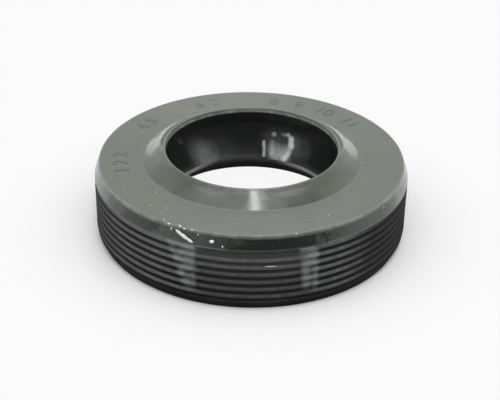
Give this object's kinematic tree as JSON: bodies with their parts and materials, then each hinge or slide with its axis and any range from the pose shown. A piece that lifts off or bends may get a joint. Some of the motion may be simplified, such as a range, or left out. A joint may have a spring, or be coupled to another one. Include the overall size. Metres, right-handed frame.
{
  "type": "oil seal",
  "caption": "Rotary shaft oil seal lying face up: rubber moulded round a steel case, with a ribbed outside, a raised dust lip and a spring-loaded main lip.",
  "frame": {"origin": "on the shaft axis, in the plane of the back face, which is the oil side", "axes": "+Z along the shaft axis, out of the front face, which is the air side with the raised dust lip; X and Y are any two directions across it"},
  "size_m": [0.04, 0.04, 0.0115],
  "materials": {
    "rubber": "satin moulded rubber, very dark green-black",
    "case_steel": "pressed sheet steel",
    "spring_steel": "drawn steel wire"
  },
  "bodies": {
    "root": {"rubber_body": "rubber", "steel_case": "case_steel", "garter_spring": "spring_steel"}
  },
  "joints": []
}
